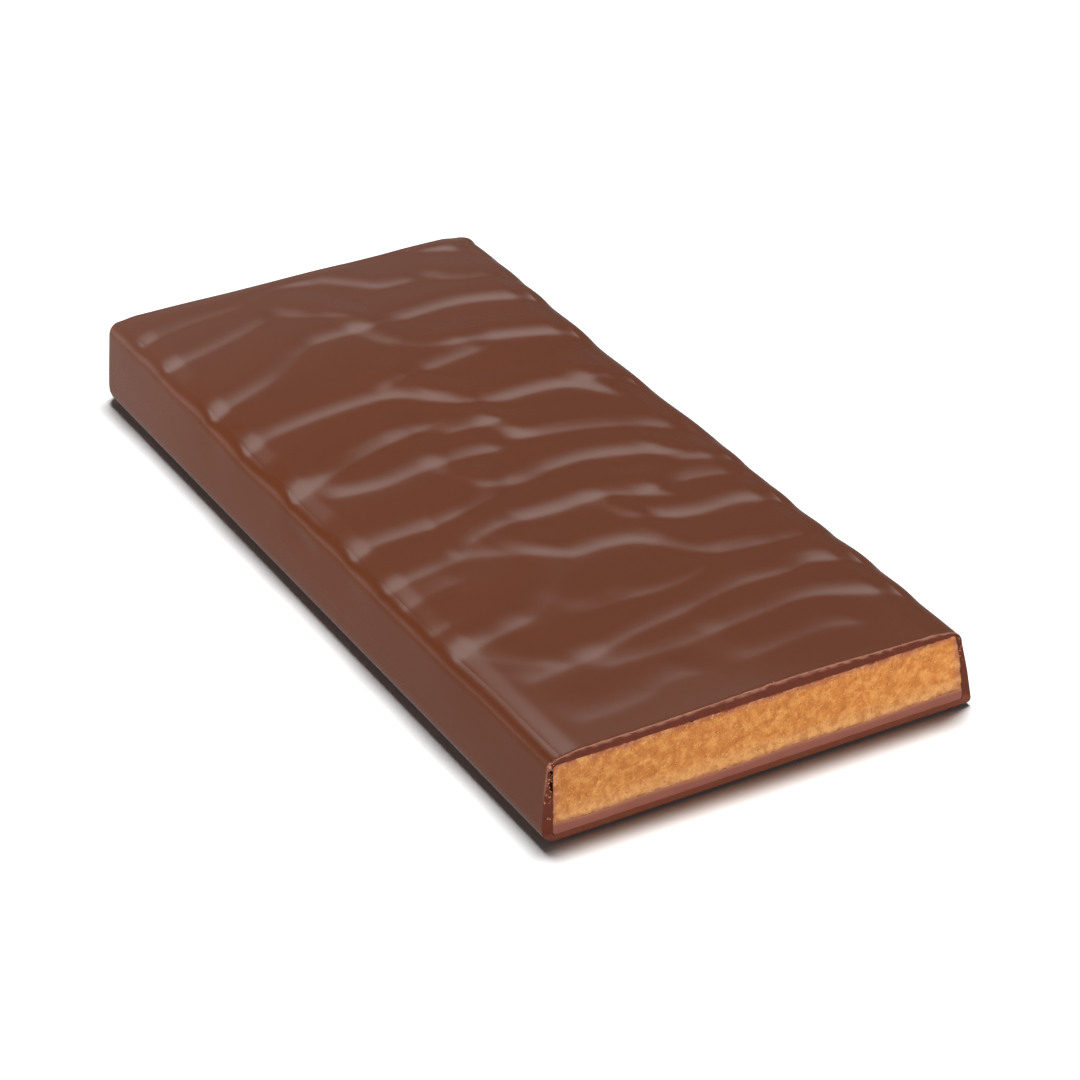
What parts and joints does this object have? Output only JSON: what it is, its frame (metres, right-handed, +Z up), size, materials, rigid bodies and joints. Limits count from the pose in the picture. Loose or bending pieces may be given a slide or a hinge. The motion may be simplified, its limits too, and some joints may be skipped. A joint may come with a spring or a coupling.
{
  "type": "cut filled chocolate bar",
  "caption": "Flat chocolate-coated bar with a rippled top, cut straight across at one end to show a pale base layer and a soft caramel-coloured filling.",
  "frame": {"origin": "middle of the flat underside's box, on the surface that the bar lies on", "axes": "+X across the bar, +Y along it from the cut end to the whole end, +Z up from the flat underside to the rippled top"},
  "size_m": [0.0548, 0.1131, 0.0112],
  "materials": {
    "chocolate": "smooth satin milk chocolate",
    "base_layer": "dull, dense and smooth",
    "filling": "dull and finely grained"
  },
  "bodies": {
    "root": {"coat": "chocolate", "base_layer": "base_layer", "filling": "filling"}
  },
  "joints": []
}
